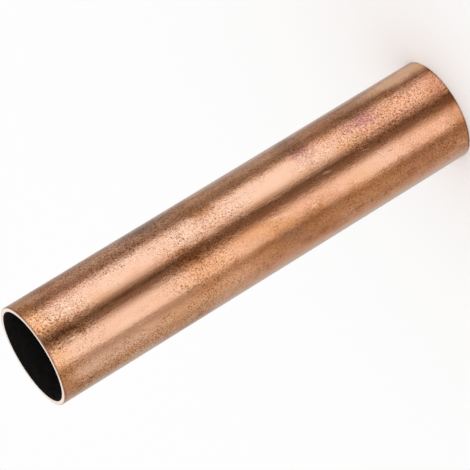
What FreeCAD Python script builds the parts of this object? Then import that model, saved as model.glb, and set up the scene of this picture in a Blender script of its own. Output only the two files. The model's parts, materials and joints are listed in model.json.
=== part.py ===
# Copper pipe length: a short piece of hard-drawn copper plumbing tube, cut square at both ends.
# The tube stands on its lower end with its axis along Z. The origin is the middle of that end.
# Each end is reamed on the bore's edge and deburred on the outer edge, as a cut pipe is before it is joined.

import FreeCAD, Part
import math
import os

import Sketcher

OUT_FOLDER = "parts"
SHEET_NAME = "Dimensions"
PIPE_LABEL = "copper_pipe"

# Driving dimensions: alias, size in millimetres, meaning.
DIMENSIONS = (
    ("outer_diameter", 22.0, "outside diameter, the size that pipe and fittings are sold by"),
    ("wall", 1.0, "wall thickness of the drawn tube"),
    ("cut_length", 100.0, "length from one cut end to the other"),
    ("ream_width", 0.1, "bevel that the reamer leaves on the bore's edge"),
    ("edge_radius", 0.15, "rounding that deburring leaves on the outer edge"),
)


def make_sheet(doc):
    sheet = doc.addObject("Spreadsheet::Sheet", SHEET_NAME)
    for row, (alias, size, meaning) in enumerate(DIMENSIONS, start=1):
        sheet.set(f"A{row}", alias)
        sheet.set(f"B{row}", str(size))
        sheet.set(f"C{row}", meaning)
        sheet.setAlias(f"B{row}", alias)
    doc.recompute()
    return sheet


def origin_plane(body, role):
    return next(plane for plane in body.Origin.OriginFeatures if plane.Role == role)


def sketch_ring(body, sheet):
    """The tube's section square to its length: the outside circle and the bore circle."""
    sketch = body.newObject("Sketcher::SketchObject", "RingSection")
    sketch.AttachmentSupport = [(origin_plane(body, "XY_Plane"), "")]
    sketch.MapMode = "FlatFace"
    bore_diameter = sheet.outer_diameter - 2 * sheet.wall
    circles = (
        ("OuterDiameter", sheet.outer_diameter, f"{SHEET_NAME}.outer_diameter"),
        ("BoreDiameter", bore_diameter, f"{SHEET_NAME}.outer_diameter - 2 * {SHEET_NAME}.wall"),
    )
    for name, diameter, expression in circles:
        circle = sketch.addGeometry(Part.Circle(FreeCAD.Vector(), FreeCAD.Vector(0, 0, 1), diameter / 2))
        # Point 3 of a circle is its centre, and point 1 of element -1 is the sketch's origin.
        sketch.addConstraint(Sketcher.Constraint("Coincident", circle, 3, -1, 1))
        size = sketch.addConstraint(Sketcher.Constraint("Diameter", circle, diameter))
        sketch.renameConstraint(size, name)
        sketch.setExpression(f"Constraints.{name}", expression)
    return sketch


def draw_tube(body, ring):
    """The ring section drawn up to the cut length."""
    tube = body.newObject("PartDesign::Pad", "DrawnTube")
    tube.Profile = ring
    tube.setExpression("Length", f"{SHEET_NAME}.cut_length")
    return tube


def end_edges(feature, choose):
    """Names of the round edges with the smallest radius (choose is min) or the largest (max)."""
    radii = {
        f"Edge{number}": edge.Curve.Radius
        for number, edge in enumerate(feature.Shape.Edges, start=1)
        if isinstance(edge.Curve, Part.Circle)
    }
    wanted = choose(radii.values())
    return [name for name, radius in radii.items() if math.isclose(radius, wanted)]


def ream_bore(body, tube):
    """The bevel on the bore's edge at each end."""
    ream = body.newObject("PartDesign::Chamfer", "ReamedBore")
    ream.Base = (tube, end_edges(tube, min))
    ream.setExpression("Size", f"{SHEET_NAME}.ream_width")
    return ream


def deburr_outside(body, reamed):
    """The rounding on the outer edge at each end."""
    deburr = body.newObject("PartDesign::Fillet", "DeburredEdge")
    deburr.Base = (reamed, end_edges(reamed, max))
    deburr.setExpression("Radius", f"{SHEET_NAME}.edge_radius")
    return deburr


def make_pipe(doc, sheet):
    """The pipe's body, with the tube and what is then cut off it, in the order of making."""
    body = doc.addObject("PartDesign::Body", "CopperPipe")
    body.Label = PIPE_LABEL
    tube = draw_tube(body, sketch_ring(body, sheet))
    doc.recompute()
    reamed = ream_bore(body, tube)
    doc.recompute()
    deburred = deburr_outside(body, reamed)
    doc.recompute()
    return body, (tube, reamed, deburred)


def check(doc, body, steps):
    for item in doc.Objects:
        if {"Invalid", "Error"} & set(item.State):
            raise RuntimeError(f"{item.Label} failed: {item.State}")
    shape = body.Shape
    if shape.isNull() or not shape.isValid() or len(shape.Solids) != 1:
        raise RuntimeError(f"{body.Label} isn't one valid solid")
    for before, after in zip(steps, steps[1:]):
        if after.Shape.Volume >= before.Shape.Volume:
            raise RuntimeError(f"{after.Label} takes no metal off")


def main():
    doc = FreeCAD.newDocument("CopperPipeLength")
    sheet = make_sheet(doc)
    pipe, steps = make_pipe(doc, sheet)
    check(doc, pipe, steps)
    os.makedirs(OUT_FOLDER, exist_ok=True)
    pipe.Shape.exportStep(os.path.join(OUT_FOLDER, f"{pipe.Label}.step"))
    box = pipe.Shape.optimalBoundingBox(False, False)
    print(f"{pipe.Label}: {box.XLength:.2f} x {box.YLength:.2f} x {box.ZLength:.2f} mm")
    print(f"lowest at z {box.ZMin:.4f}, volume {pipe.Shape.Volume:.1f} mm3")


main()
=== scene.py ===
import json
import math

import bmesh
import bpy
from mathutils import Matrix, Vector, noise


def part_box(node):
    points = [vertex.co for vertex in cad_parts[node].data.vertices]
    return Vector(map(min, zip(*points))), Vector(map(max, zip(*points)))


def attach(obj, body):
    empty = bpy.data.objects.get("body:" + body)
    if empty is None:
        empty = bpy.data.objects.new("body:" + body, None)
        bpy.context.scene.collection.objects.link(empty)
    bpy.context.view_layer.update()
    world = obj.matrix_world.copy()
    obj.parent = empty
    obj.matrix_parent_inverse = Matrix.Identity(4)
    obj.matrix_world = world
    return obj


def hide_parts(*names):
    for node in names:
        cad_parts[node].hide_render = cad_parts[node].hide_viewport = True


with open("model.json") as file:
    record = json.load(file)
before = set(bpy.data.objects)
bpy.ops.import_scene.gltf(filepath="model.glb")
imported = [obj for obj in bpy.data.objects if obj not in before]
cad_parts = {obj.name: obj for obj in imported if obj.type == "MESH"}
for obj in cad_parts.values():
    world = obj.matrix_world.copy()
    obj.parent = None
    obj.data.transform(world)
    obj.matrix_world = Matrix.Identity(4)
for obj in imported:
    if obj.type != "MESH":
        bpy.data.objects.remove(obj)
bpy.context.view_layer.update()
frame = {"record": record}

mm = 0.001
near = 0.01 * mm  # points closer than this count as one


# small helpers for node trees
def addNode(tree, kind, inputs=None, **settings):
    node = tree.nodes.new(kind)
    for name, value in settings.items():
        setattr(node, name, value)
    for name, value in (inputs or {}).items():
        if isinstance(value, bpy.types.NodeSocket):
            tree.links.new(value, node.inputs[name])
        else:
            node.inputs[name].default_value = value
    return node


def maths(tree, operation, first, second=0.0, clamp=False):
    values = {0: first, 1: second}
    return addNode(tree, "ShaderNodeMath", values, operation=operation, use_clamp=clamp).outputs[0]


def vectorMaths(tree, operation, first, second=(0.0, 0.0, 0.0), output="Vector"):
    values = {0: first, 1: second}
    return addNode(tree, "ShaderNodeVectorMath", values, operation=operation).outputs[output]


def fade(tree, value, start, end, low=0.0, high=1.0):
    values = {"Value": value, "From Min": start, "From Max": end, "To Min": low, "To Max": high}
    return addNode(tree, "ShaderNodeMapRange", values, interpolation_type="SMOOTHSTEP").outputs[0]


def mixColour(tree, factor, first, second, blend="MIX"):
    values = {0: factor, 6: first, 7: second}
    return addNode(tree, "ShaderNodeMix", values, data_type="RGBA", blend_type=blend).outputs[2]


def mixValue(tree, factor, first, second):
    return addNode(tree, "ShaderNodeMix", {0: factor, 2: first, 3: second}).outputs[0]


def noiseValue(tree, vector, scale, detail, roughness, twist=0.0):
    values = {"Vector": vector, "Scale": scale, "Detail": detail, "Roughness": roughness,
              "Distortion": twist}
    return addNode(tree, "ShaderNodeTexNoise", values).outputs[0]


def noiseLayer(tree, place, look):
    stretched = vectorMaths(tree, "MULTIPLY", place, look["stretch"])
    return noiseValue(tree, stretched, look["scale"], look["detail"], look["roughness"])


def centred(tree, value, reach):
    return maths(tree, "MULTIPLY", maths(tree, "SUBTRACT", value, 0.5), reach)


def breakUp(tree, mask, texture, limits):
    return maths(tree, "MULTIPLY", mask, fade(tree, texture, *limits))


def rgb(red, green, blue):
    return (red, green, blue, 1.0)


# the pipe's wall: outside, two cut ends with their reamed bevels, and the bore
pipe = dict(
    node="copper_pipe",
    boreMount="bore",
    ream=0.1 * mm,
    edge=0.15 * mm,
    edgeSteps=3,
    turns=240,          # faces round the wall
    rings=200,          # faces along it
    wave=0.012 * mm,    # how uneven drawing left the outside
    waveLength=14 * mm,
    seed=4.0,
    sharpAngle=35,      # degrees; an edge that turns more stays crisp
)


def pipeSizes():
    low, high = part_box(pipe["node"])
    mount = next(m for m in frame["record"]["mounts"] if m["name"] == pipe["boreMount"])
    return (high.x - low.x) / 2, mount["dims"]["r_mm"] * mm, high.z - low.z


outsideRadius, boreRadius, pipeLength = pipeSizes()
slotOutside, slotCut, slotBore = 0, 1, 2


def radiusOf(point):
    return math.hypot(point.x, point.y)


def onOutside(*points):
    return min(radiusOf(point) for point in points) > outsideRadius - near


def buildPipe(materials):
    mesh = bmesh.new()
    ream = pipe["ream"]
    section = [
        (outsideRadius, 0.0),
        (outsideRadius, pipeLength),
        (boreRadius + ream, pipeLength),
        (boreRadius, pipeLength - ream),
        (boreRadius, ream),
        (boreRadius + ream, 0.0),
    ]
    corners = [mesh.verts.new((radius, 0.0, height)) for radius, height in section]
    sides = [mesh.edges.new((a, b)) for a, b in zip(corners, corners[1:] + corners[:1])]
    bmesh.ops.spin(mesh, geom=corners + sides, cent=(0, 0, 0), axis=(0, 0, 1), angle=math.tau,
                   steps=pipe["turns"], use_merge=True)
    bmesh.ops.remove_doubles(mesh, verts=mesh.verts[:], dist=near)
    bmesh.ops.recalc_face_normals(mesh, faces=mesh.faces[:])
    roundOuterEdges(mesh)
    divideOutside(mesh)
    waveOutside(mesh)
    for face in mesh.faces:
        face.smooth = True
        face.material_index = slotOf(face)

    data = bpy.data.meshes.new("copperPipe")
    mesh.to_mesh(data)
    mesh.free()
    data.set_sharp_from_angle(angle=math.radians(pipe["sharpAngle"]))
    for material in materials:
        data.materials.append(material)
    piece = bpy.data.objects.new("copperPipe", data)
    bpy.context.scene.collection.objects.link(piece)
    return piece


def roundOuterEdges(mesh):
    edges = []
    for edge in mesh.edges:
        a, b = (v.co for v in edge.verts)
        if onOutside(a, b) and abs(a.z - b.z) < near:
            edges.append(edge)
    bmesh.ops.bevel(mesh, geom=edges, offset=pipe["edge"], offset_type="OFFSET", affect="EDGES",
                    segments=pipe["edgeSteps"], profile=0.5, material=-1)


def divideOutside(mesh):
    longEdges = []
    for edge in mesh.edges:
        a, b = (v.co for v in edge.verts)
        if onOutside(a, b) and abs(a.z - b.z) > pipeLength / 2:
            longEdges.append(edge)
    bmesh.ops.subdivide_edges(mesh, edges=longEdges, cuts=pipe["rings"] - 1, use_grid_fill=True)


def waveOutside(mesh):
    # a drawn tube is a hair uneven, always inwards so that the outside size holds
    seed = Vector((pipe["seed"], 0.0, 0.0))
    for vert in mesh.verts:
        if onOutside(vert.co):
            place = vert.co / pipe["waveLength"] + seed
            depth = pipe["wave"] * (0.5 + 0.5 * noise.noise(place))
            shrink = 1 - depth / outsideRadius
            vert.co.x *= shrink
            vert.co.y *= shrink


def slotOf(face):
    middle = face.calc_center_median()
    if radiusOf(middle) > outsideRadius - pipe["edge"]:
        return slotOutside
    onEnd = min(middle.z, pipeLength - middle.z) < pipe["ream"] / 4
    # the reamed bevel takes the bore's oxide and its painted shade
    return slotCut if onEnd else slotBore  # the bevel has gone as dark as the bore


# a worn patch: an oval on the unrolled wall, with its own place, half sizes and tilt
def makePatchGroup():
    group = bpy.data.node_groups.new("wornPatch", "ShaderNodeTree")
    for name in ("Unrolled", "Middle", "Across", "Along"):
        group.interface.new_socket(name, in_out="INPUT", socket_type="NodeSocketVector")
    group.interface.new_socket("Softness", in_out="INPUT", socket_type="NodeSocketFloat")
    group.interface.new_socket("Mask", in_out="OUTPUT", socket_type="NodeSocketFloat")
    start = group.nodes.new("NodeGroupInput")
    end = group.nodes.new("NodeGroupOutput")
    away = vectorMaths(group, "SUBTRACT", start.outputs["Unrolled"], start.outputs["Middle"])
    halfRound = math.pi * outsideRadius / mm
    farOff = 1000.0  # well past the ends, so it wraps round the wall only
    limits = {0: away, 1: (halfRound, farOff, 1.0), 2: (-halfRound, -farOff, -1.0)}
    away = addNode(group, "ShaderNodeVectorMath", limits, operation="WRAP").outputs[0]
    across = vectorMaths(group, "DOT_PRODUCT", away, start.outputs["Across"], "Value")
    along = vectorMaths(group, "DOT_PRODUCT", away, start.outputs["Along"], "Value")
    flat = addNode(group, "ShaderNodeCombineXYZ", {0: across, 1: along}).outputs[0]
    reach = vectorMaths(group, "LENGTH", flat, output="Value")
    inner = maths(group, "SUBTRACT", 1.0, start.outputs["Softness"])
    outer = maths(group, "ADD", 1.0, start.outputs["Softness"])
    group.links.new(fade(group, reach, inner, outer, 1.0, 0.0), end.inputs["Mask"])
    return group


# fine grain, dark specks and the lines that the drawing die leaves along the tube
grainLook = dict(
    detail=4.0,
    roughness=0.65,
    fineScale=1.7,                  # times the grain's own scale
    fineStretch=(1.0, 1.0, 0.85),
    fineShift=(31.0, 17.0, 5.0),    # keeps it apart from the coarser grain
    fineDetail=1.2,
    fineRoughness=0.5,
    fineTwist=0.7,
    speckScale=0.9,
    speckEdge=(0.32, 0.12),
    lineStretch=(1.0, 1.0, 0.012),
    lineDetail=2.0,
    lineRoughness=0.6,
)


def makeGrainGroup():
    group = bpy.data.node_groups.new("copperGrain", "ShaderNodeTree")
    group.interface.new_socket("Place", in_out="INPUT", socket_type="NodeSocketVector")
    for name in ("Grain Scale", "Line Scale"):
        group.interface.new_socket(name, in_out="INPUT", socket_type="NodeSocketFloat")
    for name in ("Grain", "Fine", "Specks", "Lines"):
        group.interface.new_socket(name, in_out="OUTPUT", socket_type="NodeSocketFloat")
    start = group.nodes.new("NodeGroupInput")
    end = group.nodes.new("NodeGroupOutput")
    place = start.outputs["Place"]
    scale = start.outputs["Grain Scale"]
    look = grainLook
    grain = noiseValue(group, place, scale, look["detail"], look["roughness"])
    aside = vectorMaths(group, "MULTIPLY", place, look["fineStretch"])
    aside = vectorMaths(group, "ADD", aside, look["fineShift"])
    fineScale = maths(group, "MULTIPLY", scale, look["fineScale"])
    fine = noiseValue(group, aside, fineScale, look["fineDetail"], look["fineRoughness"], look["fineTwist"])
    speckScale = maths(group, "MULTIPLY", scale, look["speckScale"])
    cells = addNode(group, "ShaderNodeTexVoronoi", {"Vector": place, "Scale": speckScale})
    drawn = vectorMaths(group, "MULTIPLY", place, look["lineStretch"])
    lines = noiseValue(group, drawn, start.outputs["Line Scale"], look["lineDetail"], look["lineRoughness"])
    specks = fade(group, cells.outputs["Distance"], *look["speckEdge"])
    group.links.new(grain, end.inputs["Grain"])
    group.links.new(fine, end.inputs["Fine"])
    group.links.new(specks, end.inputs["Specks"])
    group.links.new(lines, end.inputs["Lines"])
    return group


patchGroup = makePatchGroup()
grainGroup = makeGrainGroup()


def startMaterial(name):
    material = bpy.data.materials.new(name)
    material.use_nodes = True
    tree = material.node_tree
    tree.nodes.clear()
    shader = tree.nodes.new("ShaderNodeBsdfPrincipled")
    output = tree.nodes.new("ShaderNodeOutputMaterial")
    tree.links.new(shader.outputs[0], output.inputs["Surface"])
    return material, tree, shader


def placeInMillimetres(tree):
    coordinates = tree.nodes.new("ShaderNodeTexCoord")
    return vectorMaths(tree, "MULTIPLY", coordinates.outputs["Object"], (1 / mm, 1 / mm, 1 / mm))


def addGrain(tree, place, look):
    node = tree.nodes.new("ShaderNodeGroup")
    node.node_tree = grainGroup
    tree.links.new(place, node.inputs["Place"])
    node.inputs["Grain Scale"].default_value = look["grainScale"]
    node.inputs["Line Scale"].default_value = look["lineScale"]
    return node


def addRelief(tree, shader, height, strength, depth):
    bump = addNode(tree, "ShaderNodeBump", {"Height": height, "Strength": strength, "Distance": depth})
    tree.links.new(bump.outputs[0], shader.inputs["Normal"])


# x is the way round from the front in millimetres, y is the height, and noise makes both ragged
ragging = dict(scale=0.33, detail=6.0, roughness=0.7)


def unrolledPlace(tree, place, ragged):
    parts = addNode(tree, "ShaderNodeSeparateXYZ", {0: place})
    toFront = maths(tree, "MULTIPLY", parts.outputs[1], -1.0)
    turn = maths(tree, "ARCTAN2", parts.outputs[0], toFront)
    around = maths(tree, "MULTIPLY", turn, outsideRadius / mm)
    flat = addNode(tree, "ShaderNodeCombineXYZ", {0: around, 1: parts.outputs[2]}).outputs[0]
    values = {"Vector": place, "Scale": ragging["scale"], "Detail": ragging["detail"],
              "Roughness": ragging["roughness"]}
    blur = addNode(tree, "ShaderNodeTexNoise", values).outputs["Color"]
    shift = vectorMaths(tree, "SUBTRACT", blur, (0.5, 0.5, 0.5))
    shift = vectorMaths(tree, "MULTIPLY", shift, (ragged, ragged, 0.0))
    return vectorMaths(tree, "ADD", flat, shift), parts.outputs[2]


def addPatch(tree, unrolled, spot):
    below, turn, halfLength, halfWidth, tilt, softness, strength = spot
    lean = math.radians(tilt)
    middle = (math.radians(turn) * outsideRadius / mm, pipeLength / mm - below, 0.0)
    across = (math.cos(lean) / halfWidth, math.sin(lean) / halfWidth, 0.0)
    along = (-math.sin(lean) / halfLength, math.cos(lean) / halfLength, 0.0)
    node = tree.nodes.new("ShaderNodeGroup")
    node.node_tree = patchGroup
    tree.links.new(unrolled, node.inputs["Unrolled"])
    node.inputs["Middle"].default_value = middle
    node.inputs["Across"].default_value = across
    node.inputs["Along"].default_value = along
    node.inputs["Softness"].default_value = softness
    return maths(tree, "MULTIPLY", node.outputs["Mask"], strength)


def addPatches(tree, unrolled, spots):
    total = None
    for spot in spots:
        mask = addPatch(tree, unrolled, spot)
        total = mask if total is None else maths(tree, "MAXIMUM", total, mask)
    return total


# outside of the pipe: drawn copper with brown tarnish, pits and stains
outside = dict(
    clean=rgb(0.97, 0.60, 0.43),
    amber=rgb(0.90, 0.46, 0.285),
    brown=rgb(0.58, 0.25, 0.10),
    # dark also paints shade along the rounded cut edges
    dark=rgb(0.25, 0.115, 0.065),
    grey=rgb(0.40, 0.24, 0.185),
    pink=rgb(0.52, 0.195, 0.19),
    rosy=rgb(0.66, 0.335, 0.265),
    olive=rgb(0.60, 0.385, 0.20),
    pit=rgb(0.50, 0.34, 0.20),       # what a pit leaves of the colour under it
    glint=rgb(1.17, 1.28, 1.38),     # and what a bright grain makes of it
    gold=rgb(0.84, 0.46, 0.23),
    orange=rgb(0.95, 0.47, 0.22),
    salmon=rgb(0.74, 0.32, 0.20),
    chalk=rgb(0.70, 0.42, 0.24),
    # pale also paints a highlight along the upper bright band
    pale=rgb(0.98, 0.67, 0.50),
    honey=rgb(0.84, 0.385, 0.125),
    blush=rgb(0.95, 0.42, 0.30),
    dullRoughness=0.42,
    dullMetal=0.3,
    grainScale=2.1,
    lineScale=2.4,
    fineMiddle=0.55,
    raggedSpots=8.0,            # mm over which noise moves the edges
    raggedStreaks=2.5,
    raggedScratches=0.8,
    clouds=dict(stretch=(1.0, 1.0, 0.45), scale=0.16, detail=5.0, roughness=0.6),
    mottle=dict(stretch=(1.0, 1.0, 0.7), scale=0.6, detail=4.0, roughness=0.6),
    blotch=dict(stretch=(1.0, 1.0, 0.6), scale=0.42, detail=3.0, roughness=0.6),
    hue=dict(stretch=(1.3, 1.1, 0.8), scale=0.55, detail=2.0, roughness=0.5),
    # how much lies everywhere, and how much each texture adds or bare metal takes away
    coarse=dict(overall=0.25, spots=0.75, bare=0.5, fields=0.15),
    film=dict(overall=0.1, clouds=0.7, mottle=0.5, bare=0.6),
    tarnish=dict(overall=0.13, clouds=0.7, mottle=0.6, lines=0.25, blotch=1.1, grain=1.4),
    relief=dict(depth=0.038 * mm, smooth=0.25, lines=0.3, specks=0.5, blotch=1.5),
    # a fade: from, to, and the levels at those two
    roughness=(0.1, 0.9, 0.15, 0.20),
    brownFade=(0.0, 1.1),
    dirtyFade=(0.1, 0.7),
    coarseBreak=(0.35, 0.62, 0.75, 1.4),
    greyBreak=(0.2, 0.6, 0.3, 1.0),
    pinkBreak=(0.36, 0.58, 0.08, 1.0),
    rosyBreak=(0.5, 0.75, 0.0, 0.4),
    oliveBreak=(0.5, 0.25, 0.0, 0.35),
    orangeBreak=(0.35, 0.6, 0.3, 1.0),
    salmonBreak=(0.3, 0.6, 0.4, 1.0),
    scratchBreak=(0.35, 0.6, 0.1, 0.7),
    dullBreak=(0.3, 0.6, 0.5, 1.0),
    pitBreak=(0.48, 0.70),
    glintBreak=(0.5, 0.31),
    goldBreak=(0.3, 0.6, 0.5, 1.0),
    goldRagged=4.0,
    goldReach=(6.0, -2.0, 0.0, 0.45),       # mm from the mouth
    goldStart=(0.5, 2.5, 0.4, 1.0),
    # painted shade: a dark band this near either end stands in for the dark reflection of the rounded cut
    # edges
    edgeShadeReach=(0.5, 0.15, 0.0, 0.7),        # mm from either end
    # mm below the mouth, degrees round from the front, half length, half width, tilt, softness, strength
    filmSpots=[
        (72, -3, 37.0, 9.8, 0, 0.35, 0.95),
        (18, -20, 22.0, 6.5, 0, 0.6, 0.5),
        (28, 12, 12.0, 2.0, 0, 0.8, 0.7),
        (38, -30, 9.0, 6.0, 0, 0.6, 0.8),
        (50, -42, 16.0, 4.0, 0, 0.6, 0.7),
        (70, -54, 32.0, 3.0, 0, 0.6, 0.7),
        (6, 71, 8.0, 1.8, 0, 0.7, 0.7),
        (36, -4, 5.0, 7.0, 0, 0.6, 0.9),
        (90, 14, 5.0, 1.6, 0, 0.8, 0.5),
        (41, 62, 5.0, 3.0, 0, 0.8, 0.5),
        (60, 180, 30.0, 10.0, 0, 0.6, 0.6),
    ],
    brownSpots=[
        (36, -6, 5.5, 5.0, -12, 0.6, 0.2),
        (41, 40, 4.2, 2.6, -25, 0.7, 0.6),
        (100, 0, 3.4, 30.0, 0, 0.8, 0.58),
        (66, -62, 4.0, 1.6, 0, 0.8, 0.5),
        (80, 45, 8.0, 1.0, 0, 0.8, 0.35),
        (40, 70, 3.0, 1.8, 0, 0.8, 0.5),
        (18, 77, 20.0, 1.8, 0, 0.7, 0.4),
        (74, -46, 4.0, 1.2, 0, 0.8, 0.8),
        (95.5, -5, 4.0, 1.4, 0, 0.8, 0.45),
        (82, 73, 20.0, 1.6, 0, 0.7, 0.5),
        (77, 52, 5.0, 2.0, 0, 0.8, 0.4),
        (91, 46, 6.0, 1.2, 0, 0.8, 0.5),
        (35, 3, 4.0, 1.6, 0, 0.8, 0.85),
        (1, -46, 3.5, 3.5, 0, 0.7, 0.75),
        (4.5, 7, 3.0, 2.0, 0, 0.7, 1.0),
        (4, 45, 2.5, 1.5, 0, 0.7, 0.4),
        (100, -37, 3.0, 3.6, 0, 0.8, 1.0),
        (9, 70, 7.0, 2.2, 0, 0.7, 0.55),
        (4.5, -62, 4.5, 1.3, 0, 0.7, 0.8),
        (72, 44, 26.0, 1.0, 0, 0.8, 0.15),
        (74, 57, 4.0, 2.4, 0, 0.8, 0.4),
        (1, 25, 2.0, 5.0, 0, 0.7, 0.3),
        (31, -70, 5.0, 2.4, 0, 0.8, 0.6),
        (75, 16, 6.0, 2.0, 0, 0.8, 0.15),
        (88, 24, 14.0, 4.5, 0, 0.9, 0.12),
        (10, -62, 7.0, 1.4, 0, 0.8, 0.6),
        (5, 11, 7.0, 2.2, 0, 0.8, 0.4),
        (6, 45, 5.0, 2.6, 0, 0.8, 0.4),
        (36, -31, 2.2, 3.0, 0, 0.8, 0.3),
        (99, 18, 3.0, 6.0, 0, 0.7, 0.75),
        (51, -9, 2.5, 1.4, 0, 0.8, 0.3),
        (30, 150, 9.0, 5.0, 20, 0.7, 0.5),
        (70, -140, 14.0, 5.0, -10, 0.7, 0.5),
        (88, 112, 10.0, 4.0, 0, 0.8, 0.4),
        (20, -108, 9.0, 3.6, 12, 0.8, 0.4),
    ],
    brownStreaks=[
        (57, -36, 12.5, 3.2, -14, 0.4, 0.7),
        (51, -19, 5.0, 2.5, -14, 0.5, 0.3),
        (50, -39, 8.0, 2.4, 0, 0.6, 0.6),
        (60, -33, 5.0, 1.5, -14, 0.6, 0.85),
        (62.5, -28, 3.5, 1.5, -14, 0.6, 0.85),
        (44, -31, 5.0, 2.0, 0, 0.6, 0.4),
        (64, -29, 5.0, 2.5, 0, 0.7, 0.4),
        (88, -39, 30.0, 2.9, 0, 0.4, 0.72),
        (71, -36, 8.0, 3.4, 0, 0.6, 0.5),
    ],
    coarseSpots=[
        (5, 20, 8.0, 9.0, 0, 0.7, 1.0),
        (36, 0, 8.0, 12.0, 0, 0.7, 0.9),
        (20, -17, 10.0, 2.4, 0, 0.7, 0.2),
        (42, -48, 7.0, 3.0, 0, 0.7, 0.9),
        (56, -30, 10.0, 5.0, 0, 0.7, 0.3),
        (84, 26, 20.0, 4.0, 0, 0.7, 1.0),
        (22, -58, 22.0, 3.6, 0, 0.7, 1.2),
        (38, -49, 12.0, 3.6, 0, 0.7, 0.9),
        (24, 57, 25.0, 5.0, 0, 0.7, 1.1),
        (45, 27, 6.5, 4.0, 0, 0.7, 1.0),
        (70, 5, 24.0, 1.6, 0, 0.7, 0.4),
        (97, -47, 5.0, 4.5, 0, 0.7, 0.7),
        (3, -38, 5.0, 3.5, 0, 0.7, 0.7),
        (65, 55, 25.0, 4.0, 0, 0.8, 0.7),
        (82, -43, 22.0, 3.6, 0, 0.7, 0.65),
        (60, 165, 20.0, 6.0, 0, 0.8, 0.7),
        (30, -130, 16.0, 6.0, 0, 0.8, 0.7),
    ],
    unevenSpots=[
        (21, 57, 22.0, 4.0, 0, 0.5, 1.0),
        (22, -57, 24.0, 3.2, 0, 0.5, 0.7),
        (38, -49, 12.0, 3.4, 0, 0.6, 0.5),
        (4, 26, 6.0, 6.0, 0, 0.7, 0.8),
        (97, -47, 5.0, 4.5, 0, 0.7, 0.5),
        (36, -6, 7.0, 8.0, 0, 0.6, 0.3),
        (84, 26, 18.0, 4.0, 0, 0.6, 0.25),
    ],
    pittedSpots=[
        (5, 6, 6.0, 2.2, 0, 0.9, 1.0),
        (5, 32, 6.0, 4.0, 0, 0.8, 0.7),
        (36, -4, 5.0, 5.0, 0, 0.8, 0.4),
        (12, -60, 10.0, 1.2, 0, 0.8, 0.6),
        (41, 46, 6.0, 3.0, -28, 0.8, 0.5),
    ],
    greySpots=[
        (32, 66, 6.0, 2.2, 0, 0.6, 0.95),
        (4, 45, 2.2, 1.8, 0, 0.7, 0.55),
        (0.8, 10, 1.5, 2.0, 0, 0.7, 0.75),
        (4, 5, 2.8, 0.7, 0, 0.8, 0.5),
        (66, 60, 3.0, 3.4, 0, 0.8, 0.6),
        (81, 46, 4.0, 3.0, 0, 0.8, 0.45),
        (57, -38, 4.0, 1.8, -14, 0.7, 0.35),
        (95, 40, 4.0, 1.5, 0, 0.8, 0.25),
        (76, -43, 6.0, 1.8, 0, 0.8, 0.25),
    ],
    pinkSpots=[
        (66.6, 34, 2.0, 1.6, 0, 0.6, 0.9),
        (81.1, 32.5, 3.3, 1.8, 0, 0.6, 0.88),
        (93, 40, 4.0, 1.0, 0, 0.9, 0.3),
        (88, -37, 9.0, 1.6, 0, 0.8, 0.3),
    ],
    cleanSpots=[
        (18, 22, 12.0, 2.8, 0, 0.5, 0.65),
        (33, 48, 5.0, 1.6, 0, 0.8, 0.6),
        (31, -53, 13.0, 1.8, 0, 0.7, 0.85),
        (45, -21, 7.0, 1.4, 0, 0.8, 0.4),
        (44, -68, 5.0, 2.2, 0, 0.8, 0.45),
        (8, -74, 3.0, 2.2, 0, 0.8, 0.5),
        (17, -71, 5.0, 2.2, 0, 0.8, 0.4),
        (4.5, 61, 2.0, 1.4, 0, 0.8, 0.6),
        (6, -9, 4.0, 1.2, 0, 0.8, 0.7),
        (36, 17, 3.0, 1.2, 0, 0.8, 0.4),
        (46, -73, 4.0, 2.0, 0, 0.8, 0.5),
        (13, -46, 5.0, 1.2, 0, 0.8, 0.6),
        (68, 8, 3.0, 1.0, 0, 0.8, 0.6),
        (57, 60, 3.0, 1.3, 0, 0.8, 0.5),
        (41.5, -46, 3.0, 2.4, 0, 0.8, 0.5),
        (80, -80, 11.0, 2.2, 0, 0.7, 0.6),
        (70, -12, 14.0, 2.0, -6, 0.6, 0.15),
        (57, 25, 12.0, 2.7, 0, 0.6, 0.95),
        (36, 27, 6.0, 2.2, 0, 0.7, 0.5),
        (77, -10, 6.0, 3.0, 0, 0.8, 0.3),
        (41, 13, 3.0, 1.6, 0, 0.8, 0.4),
        (41, -54, 8.0, 2.4, 0, 0.8, 0.35),
        (68, 17, 4.0, 4.0, 0, 0.8, 0.6),
        (60, 7, 12.0, 1.8, 0, 0.7, 0.35),
        (70, -76, 30.0, 2.6, 0, 0.6, 0.5),
        (26, -55, 20.0, 1.6, 0, 0.8, 0.45),
        (11, 38, 6.0, 1.6, 0, 0.8, 0.35),
        (5, 21, 4.0, 2.0, 0, 0.8, 0.3),
        (70, 81, 30.0, 2.0, 0, 0.7, 0.3),
        (20, 54, 14.0, 1.6, 0, 0.8, 0.2),
        (93, 61, 9.0, 2.4, 0, 0.5, 0.5),
        (60, -165, 12.0, 4.0, 0, 0.6, 0.4),
        (60, 100, 16.0, 4.0, 0, 0.6, 0.4),
    ],
    cleanFields=[
        (17.5, -17, 15.0, 2.5, 0, 0.15, 0.55),
        (26, -12, 6.5, 1.4, 0, 0.3, 0.55),
        (30, -27, 3.6, 1.4, 0, 0.3, 0.95),
        (23, -26, 11.5, 1.6, 0, 0.2, 0.75),
        (17, -41, 14.0, 2.1, 0, 0.3, 0.7),
    ],
    orangeSpots=[
        (1.2, 34, 2.0, 5.0, 0, 0.8, 0.9),
        (1.0, -13, 1.8, 3.0, 0, 0.8, 0.65),
    ],
    oliveSpots=[
        (50, 58, 8.0, 2.6, 0, 0.8, 0.32),
        (40, 50, 4.0, 1.6, 0, 0.8, 0.35),
        (9, -69, 5.0, 1.8, 0, 0.8, 0.4),
    ],
    honeySpots=[
        (36, -32, 12.0, 4.5, 0, 0.7, 0.36),
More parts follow.
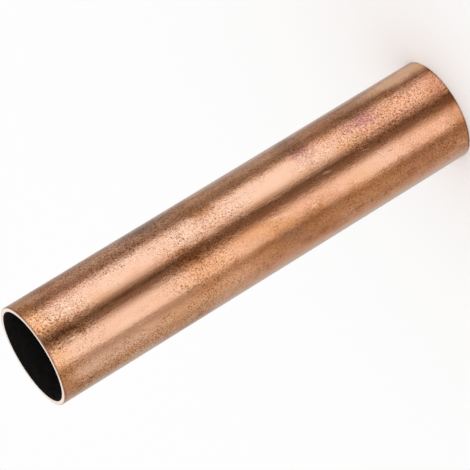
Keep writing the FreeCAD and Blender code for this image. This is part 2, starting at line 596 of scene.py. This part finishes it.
        (28, -50, 8.0, 3.5, 0, 0.7, 0.42),
        (16, -57, 7.0, 1.8, 0, 0.8, 0.4),
        (77, -35, 6.0, 2.6, 0, 0.8, 0.3),
        (55, 14, 6.0, 1.2, 0, 0.8, 0.25),
        (74, -22, 3.0, 2.8, 0, 0.8, 0.5),
        (50, -12, 7.0, 2.0, -10, 0.8, 0.4),
        (63, 16, 4.0, 1.6, 0, 0.8, 0.35),
        (74, 17, 2.5, 1.4, 0, 0.8, 0.4),
        (14, 14, 4.0, 1.0, 0, 0.8, 0.35),
    ],
    blushSpots=[
        (13, 46, 9.0, 1.8, 0, 0.8, 0.45),
        (33, 45, 4.0, 1.2, 0, 0.8, 0.4),
    ],
    salmonSpots=[
        (98, 25, 3.0, 4.2, 0, 0.8, 0.8),
    ],
    scratches=[
        (47, 31, 6.5, 0.16, -2, 0.7, 0.4),
        (4, 5, 3.0, 0.5, 0, 0.7, 1.0),
        (21, 5, 18.0, 0.35, 0, 0.8, 0.6),
        (78, 7, 26.0, 0.25, 0, 0.8, 0.45),
        (43, 9, 8.0, 0.14, 0, 0.7, 0.5),
        (20, -28, 12.0, 0.14, 0, 0.7, 0.35),
        (81.1, 2, 0.25, 0.25, 0, 0.6, 0.9),
        (88, 14, 7.0, 0.14, 1, 0.7, 0.4),
        (64, 52, 9.0, 0.16, -1, 0.7, 0.5),
        (24, 47, 8.0, 0.16, 1, 0.7, 0.5),
        (40, 140, 12.0, 0.15, 3, 0.7, 0.5),
        (66, -120, 9.0, 0.15, -4, 0.7, 0.5),
    ],
    paleScratchesAndHighlight=[
        (54, -9, 4.0, 0.25, -12, 0.8, 0.4),
        # painted highlight: this pale strip lies along the upper bright band
        (58, 24, 15.0, 2.0, 0, 0.8, 0.5),
        (63, 10.5, 8.0, 0.7, 0, 0.8, 0.4),
        (78, -15, 8.0, 2.4, 0, 0.8, 0.35),
        (34, 50, 6.0, 1.2, 0, 0.8, 0.2),
        (36, 27, 3.0, 2.2, 0, 0.8, 0.5),
        (85, -79, 18.0, 2.2, 0, 0.8, 0.5),
        (30, 170, 8.0, 0.15, 2, 0.7, 0.6),
    ],
    hairlines=[
        (67.9, 3.4, 1.2, 0.12, -5, 0.6, 0.5),
        (77.1, 6.8, 0.6, 0.12, -17, 0.6, 0.35),
        (77.5, 2.4, 0.7, 0.12, -17, 0.6, 0.4),
        (80.1, -9.5, 0.9, 0.12, -62, 0.6, 1.1),
        (82.3, -10.6, 0.6, 0.12, -3, 0.6, 0.8),
    ],
    dullSpots=[
        (95, 62, 8.0, 2.0, 0, 0.8, 0.95),
        (98.5, 57, 3.5, 1.6, 0, 0.8, 0.6),
        (41, -52, 5.0, 3.0, 0, 0.8, 0.3),
    ],
)


def makeOutside():
    material, tree, shader = startMaterial("tarnishedCopper")
    place = placeInMillimetres(tree)
    unrolled, height = unrolledPlace(tree, place, outside["raggedSpots"])
    grain = addGrain(tree, place, outside)
    grainValue = grain.outputs["Grain"]
    fromMouth = maths(tree, "SUBTRACT", pipeLength / mm, height)

    def stains(name):
        return addPatches(tree, unrolled, outside[name])

    clouds = noiseLayer(tree, place, outside["clouds"])
    mottle = noiseLayer(tree, place, outside["mottle"])
    blotch = noiseLayer(tree, place, outside["blotch"])
    edged = unrolledPlace(tree, place, outside["raggedStreaks"])[0]
    fields = addPatches(tree, edged, outside["cleanFields"])
    bare = maths(tree, "MAXIMUM", stains("cleanSpots"), fields)

    # coarse grain, less of it on bare metal
    amount = outside["coarse"]
    coarse = maths(tree, "MULTIPLY", stains("coarseSpots"), amount["spots"])
    coarse = maths(tree, "ADD", coarse, amount["overall"])
    coarse = breakUp(tree, coarse, blotch, outside["coarseBreak"])
    coarse = maths(tree, "SUBTRACT", coarse, maths(tree, "MULTIPLY", bare, amount["bare"]))
    coarse = maths(tree, "ADD", coarse, maths(tree, "MULTIPLY", fields, amount["fields"]), clamp=True)

    # amber film, thicker away from the mouth
    amount = outside["film"]
    film = maths(tree, "ADD", stains("filmSpots"), amount["overall"])
    film = maths(tree, "ADD", film, centred(tree, clouds, amount["clouds"]))
    film = maths(tree, "ADD", film, centred(tree, mottle, amount["mottle"]))
    film = maths(tree, "SUBTRACT", film, maths(tree, "MULTIPLY", bare, amount["bare"]), clamp=True)

    # brown tarnish that breaks up into grains at its edges
    amount = outside["tarnish"]
    streaks = addPatches(tree, edged, outside["brownStreaks"])
    tarnish = maths(tree, "MAXIMUM", stains("brownSpots"), streaks)
    tarnish = maths(tree, "ADD", tarnish, amount["overall"])
    tarnish = maths(tree, "ADD", tarnish, centred(tree, clouds, amount["clouds"]))
    tarnish = maths(tree, "ADD", tarnish, centred(tree, mottle, amount["mottle"]))
    tarnish = maths(tree, "ADD", tarnish, centred(tree, grain.outputs["Lines"], amount["lines"]))
    blotchy = maths(tree, "MULTIPLY", centred(tree, blotch, amount["blotch"]), coarse)
    tarnish = maths(tree, "ADD", tarnish, blotchy)
    tarnish = maths(tree, "SUBTRACT", tarnish, bare, clamp=True)
    speckle = maths(tree, "MULTIPLY", centred(tree, grainValue, amount["grain"]), coarse)
    brown = fade(tree, maths(tree, "ADD", tarnish, speckle), *outside["brownFade"])
    specks = maths(tree, "MULTIPLY", grain.outputs["Specks"], stains("pittedSpots"), clamp=True)
    grey = breakUp(tree, stains("greySpots"), mottle, outside["greyBreak"])
    pink = breakUp(tree, stains("pinkSpots"), grainValue, outside["pinkBreak"])

    # stain along the mouth, painted shade along the rounded cut edges, and scratches
    ragged = maths(tree, "MULTIPLY", mottle, outside["goldRagged"])
    gold = fade(tree, maths(tree, "SUBTRACT", fromMouth, ragged), *outside["goldReach"])
    gold = breakUp(tree, gold, grainValue, outside["goldBreak"])
    gold = breakUp(tree, gold, fromMouth, outside["goldStart"])
    # painted shade: darker towards both cut edges, for their dark reflection
    wearAndEdgeShade = fade(tree, maths(tree, "MINIMUM", height, fromMouth), *outside["edgeShadeReach"])
    orange = breakUp(tree, stains("orangeSpots"), grainValue, outside["orangeBreak"])
    salmon = breakUp(tree, stains("salmonSpots"), grainValue, outside["salmonBreak"])
    straight = unrolledPlace(tree, place, outside["raggedScratches"])[0]
    scratched = addPatches(tree, straight, outside["scratches"])
    scratched = breakUp(tree, scratched, mottle, outside["scratchBreak"])
    grooves = addPatches(tree, straight, outside["hairlines"])
    # pale scratches, and a painted highlight on the upper bright band
    polishAndPaintedHighlight = maths(tree, "MAXIMUM", addPatches(tree, straight, outside["paleScratchesAndHighlight"]), grooves)

    # the colours, each laid over the one before
    colour = mixColour(tree, film, outside["clean"], outside["amber"])
    hue = noiseLayer(tree, place, outside["hue"])
    dirty = fade(tree, coarse, *outside["dirtyFade"])
    rosy = breakUp(tree, dirty, hue, outside["rosyBreak"])
    olive = breakUp(tree, dirty, hue, outside["oliveBreak"])
    olive = maths(tree, "MAXIMUM", olive, stains("oliveSpots"))
    colour = mixColour(tree, brown, colour, outside["brown"])
    colour = mixColour(tree, rosy, colour, outside["rosy"])
    colour = mixColour(tree, olive, colour, outside["olive"])
    colour = mixColour(tree, grey, colour, outside["grey"])
    colour = mixColour(tree, pink, colour, outside["pink"])
    colour = mixColour(tree, stains("honeySpots"), colour, outside["honey"])
    colour = mixColour(tree, stains("blushSpots"), colour, outside["blush"])
    colour = mixColour(tree, gold, colour, outside["gold"])
    colour = mixColour(tree, orange, colour, outside["orange"])
    colour = mixColour(tree, salmon, colour, outside["salmon"])
    # painted shade along both rounded cut edges
    colour = mixColour(tree, wearAndEdgeShade, colour, outside["dark"])
    colour = mixColour(tree, scratched, colour, outside["dark"])
    # paler: scratches and a painted highlight
    colour = mixColour(tree, polishAndPaintedHighlight, colour, outside["pale"])

    # dark pits and bright grains, stronger in the uneven places
    uneven = stains("unevenSpots")
    wider = maths(tree, "SUBTRACT", grain.outputs["Fine"], outside["fineMiddle"])
    fine = maths(tree, "ADD", grain.outputs["Fine"], maths(tree, "MULTIPLY", wider, uneven))
    pits = breakUp(tree, coarse, fine, outside["pitBreak"])
    glints = breakUp(tree, coarse, fine, outside["glintBreak"])
    pits = maths(tree, "MAXIMUM", pits, specks)
    colour = mixColour(tree, pits, colour, outside["pit"], "MULTIPLY")
    colour = mixColour(tree, glints, colour, outside["glint"], "MULTIPLY")

    # a few matt places
    matt = addPatches(tree, straight, outside["dullSpots"])
    matt = breakUp(tree, matt, mottle, outside["dullBreak"])
    colour = mixColour(tree, matt, colour, outside["chalk"])
    tree.links.new(colour, shader.inputs["Base Color"])
    tree.links.new(fade(tree, matt, 0.0, 1.0, 1.0, outside["dullMetal"]), shader.inputs["Metallic"])
    rough = fade(tree, tarnish, *outside["roughness"])
    rough = mixValue(tree, matt, rough, outside["dullRoughness"])
    tree.links.new(rough, shader.inputs["Roughness"])

    amount = outside["relief"]
    rising = maths(tree, "MULTIPLY", grainValue, fade(tree, coarse, 0.0, 1.0, amount["smooth"], 1.0))
    relief = maths(tree, "ADD", rising, maths(tree, "MULTIPLY", grain.outputs["Lines"], amount["lines"]))
    relief = maths(tree, "SUBTRACT", relief, maths(tree, "MULTIPLY", specks, amount["specks"]))
    relief = maths(tree, "SUBTRACT", relief, grooves)
    blotchy = maths(tree, "MULTIPLY", centred(tree, blotch, amount["blotch"]), coarse)
    relief = maths(tree, "ADD", relief, blotchy)
    addRelief(tree, shader, relief, 1.0, amount["depth"])
    return material


# cut ends: bright bare metal with a fine saw grain
cut = dict(
    bright=rgb(0.88, 0.74, 0.63),
    dull=rgb(0.74, 0.57, 0.45),
    stain=rgb(0.30, 0.20, 0.14),
    dullFade=(0.45, 0.75),
    stainWidth=(0.3, 0.1),      # mm in from the outer edge, where it starts and where it is full
    stainLevel=0.5,
    roughness=(0.3, 0.7, 0.25, 0.4),
    grainScale=2.5,
    lineScale=6.0,
    reliefStrength=0.2,
    reliefDepth=0.02 * mm,
)


def makeCut():
    material, tree, shader = startMaterial("cutCopper")
    place = placeInMillimetres(tree)
    grain = addGrain(tree, place, cut)
    wearAndEdgeShade = fade(tree, grain.outputs["Grain"], *cut["dullFade"])
    flat = vectorMaths(tree, "MULTIPLY", place, (1.0, 1.0, 0.0))
    fromAxis = vectorMaths(tree, "LENGTH", flat, output="Value")
    rim = outsideRadius / mm
    starts, full = cut["stainWidth"]
    stain = fade(tree, fromAxis, rim - starts, rim - full, 0.0, cut["stainLevel"])
    colour = mixColour(tree, wearAndEdgeShade, cut["bright"], cut["dull"])
    colour = mixColour(tree, stain, colour, cut["stain"])
    tree.links.new(colour, shader.inputs["Base Color"])
    shader.inputs["Metallic"].default_value = 1.0
    rough = fade(tree, grain.outputs["Grain"], *cut["roughness"])
    tree.links.new(rough, shader.inputs["Roughness"])
    addRelief(tree, shader, grain.outputs["Lines"], cut["reliefStrength"], cut["reliefDepth"])
    return material


# bore: dark oxide, as the water side of a drawn tube turns, set near black as painted shade inside the bore
bore = dict(
    # painted shade: oxide this near black stands in for the shade deep in the bore
    oxideAndShade=rgb(0.0045, 0.003, 0.0025),
    brown=rgb(0.022, 0.010, 0.005),
    brownFade=(0.5, 0.8),
    metal=0.5,
    roughness=(0.3, 0.7, 0.5, 0.75),
    grainScale=0.8,
    lineScale=2.0,
    reliefStrength=0.3,
    reliefDepth=0.03 * mm,
)


def makeBore():
    material, tree, shader = startMaterial("oxideAndShadeBore")
    grain = addGrain(tree, placeInMillimetres(tree), bore)
    lighter = fade(tree, grain.outputs["Grain"], *bore["brownFade"])
    # the bore's colour: dark oxide and painted shade
    colour = mixColour(tree, lighter, bore["oxideAndShade"], bore["brown"])
    tree.links.new(colour, shader.inputs["Base Color"])
    shader.inputs["Metallic"].default_value = bore["metal"]
    rough = fade(tree, grain.outputs["Grain"], *bore["roughness"])
    tree.links.new(rough, shader.inputs["Roughness"])
    addRelief(tree, shader, grain.outputs["Lines"], bore["reliefStrength"], bore["reliefDepth"])
    return material


copperPipe = buildPipe([makeOutside(), makeCut(), makeBore()])
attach(copperPipe, "root")
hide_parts(pipe["node"])
print("pipe:", len(copperPipe.data.polygons), "faces")


# floor: large and pale, and left out of mirror images so that the wall shows the studio's soft boxes
floor = dict(size=12.0, colour=rgb(0.95, 0.95, 0.95), roughness=1.0, shine=0.0)


def buildFloor():
    mesh = bmesh.new()
    bmesh.ops.create_grid(mesh, x_segments=1, y_segments=1, size=floor["size"] / 2)
    data = bpy.data.meshes.new("floor")
    mesh.to_mesh(data)
    mesh.free()
    material, _, shader = startMaterial("paleFloor")
    shader.inputs["Base Color"].default_value = floor["colour"]
    shader.inputs["Roughness"].default_value = floor["roughness"]
    shader.inputs["Specular IOR Level"].default_value = floor["shine"]
    data.materials.append(material)
    piece = bpy.data.objects.new("floor", data)
    piece.visible_glossy = False
    piece.visible_shadow = False
    bpy.context.scene.collection.objects.link(piece)


buildFloor()
print("floor: laid")


# studio: white above, and below the horizon soft boxes and cards that stand round the pipe
studio = dict(
    sky=1.04,
    horizon=(-0.03, 0.0),
    gap=0.10,                       # level between the boxes
    warmth=(1.20, 1.42),            # powers for green and blue, so dim light is warmer
    plainShift=2.0,
    plainFade=(122.0, 152.0),       # degrees round over which the light behind turns plain
    # turn and half width in degrees round from the front, softness of the two edges, level
    boxes=[
        dict(turn=180, half=52, soft=(16, 16), level=0.49),         # back wall
        dict(turn=180, half=16, soft=(12, 12), level=0.75),         # bright back
        dict(turn=-136, half=31, soft=(10, 12), level=0.53),        # left back
        dict(turn=-80, half=32, soft=(10, 8), level=0.42),          # left side
        dict(turn=-88, half=18, soft=(14, 10), level=0.68),         # left card
        dict(turn=106, half=30, soft=(8, 8), level=0.30),           # right side
        dict(turn=121, half=11, soft=(8, 8), level=0.48),           # right card
        dict(turn=-0.5, half=10, soft=(8, 2.5), level=0.215),       # front card
        dict(turn=-32, half=21.5, soft=(9, 11), level=1.02),        # left box
        dict(turn=53, half=28, soft=(15, 9), level=1.04),           # right box
    ],
)


def lightStudio():
    world = bpy.data.worlds.new("studio")
    bpy.context.scene.world = world
    world.use_nodes = True
    tree = world.node_tree
    background = tree.nodes["Background"]
    ray = addNode(tree, "ShaderNodeTexCoord").outputs["Generated"]
    parts = addNode(tree, "ShaderNodeSeparateXYZ", {0: ray})
    toFront = maths(tree, "MULTIPLY", parts.outputs[1], -1.0)
    turn = maths(tree, "ARCTAN2", parts.outputs[0], toFront)
    degrees = maths(tree, "MULTIPLY", turn, math.degrees(1.0))
    level = studio["gap"]
    for box in studio["boxes"]:
        away = maths(tree, "SUBTRACT", degrees, box["turn"])
        away = addNode(tree, "ShaderNodeMath", {0: away, 1: 180.0, 2: -180.0}, operation="WRAP").outputs[0]
        half = box["half"]
        low, high = box["soft"]
        fromLow = fade(tree, away, -half - low, -half + low)
        toHigh = fade(tree, away, half + high, half - high)
        inside = maths(tree, "MULTIPLY", fromLow, toHigh)
        level = mixValue(tree, inside, level, box["level"])
    greener, bluer = (maths(tree, "POWER", level, power) for power in studio["warmth"])
    warm = addNode(tree, "ShaderNodeCombineXYZ", {0: level, 1: greener, 2: bluer}).outputs[0]
    plain = addNode(tree, "ShaderNodeCombineXYZ", {0: level, 1: level, 2: level}).outputs[0]
    aside = maths(tree, "ABSOLUTE", maths(tree, "ADD", degrees, studio["plainShift"]))
    behind = fade(tree, aside, *studio["plainFade"])
    colour = mixColour(tree, behind, warm, plain)
    above = fade(tree, parts.outputs[2], *studio["horizon"])
    colour = mixColour(tree, above, colour, rgb(studio["sky"], studio["sky"], studio["sky"]))
    tree.links.new(colour, background.inputs["Color"])
    background.inputs["Strength"].default_value = 1.0


lightStudio()
print("studio: lit by", len(studio["boxes"]), "soft boxes and cards")


# camera: the photo's view, rolled so that the standing pipe slants across the picture as there
camera = dict(
    lens=245.84,
    sensor=36.0,
    clip=(0.01, 50.0),
    standOff=604.14 * mm,
    height=262.03 * mm,
    aimAcross=-0.416 * mm,
    aimHeight=51.357 * mm,
    roll=-121.507,
)


def placeCamera():
    data = bpy.data.cameras.new("camera")
    data.lens = camera["lens"]
    data.sensor_width = camera["sensor"]
    data.clip_start, data.clip_end = camera["clip"]
    eye = Vector((0.0, -camera["standOff"], camera["height"]))
    aim = Vector((camera["aimAcross"], 0.0, camera["aimHeight"]))
    level = (aim - eye).to_track_quat("-Z", "Y").to_matrix()
    turned = level @ Matrix.Rotation(math.radians(camera["roll"]), 3, "Z")
    piece = bpy.data.objects.new("camera", data)
    piece.matrix_world = Matrix.Translation(eye) @ turned.to_4x4()
    bpy.context.scene.collection.objects.link(piece)
    bpy.context.scene.camera = piece


placeCamera()
bpy.context.scene.view_settings.view_transform = "Standard"
print("camera: placed")
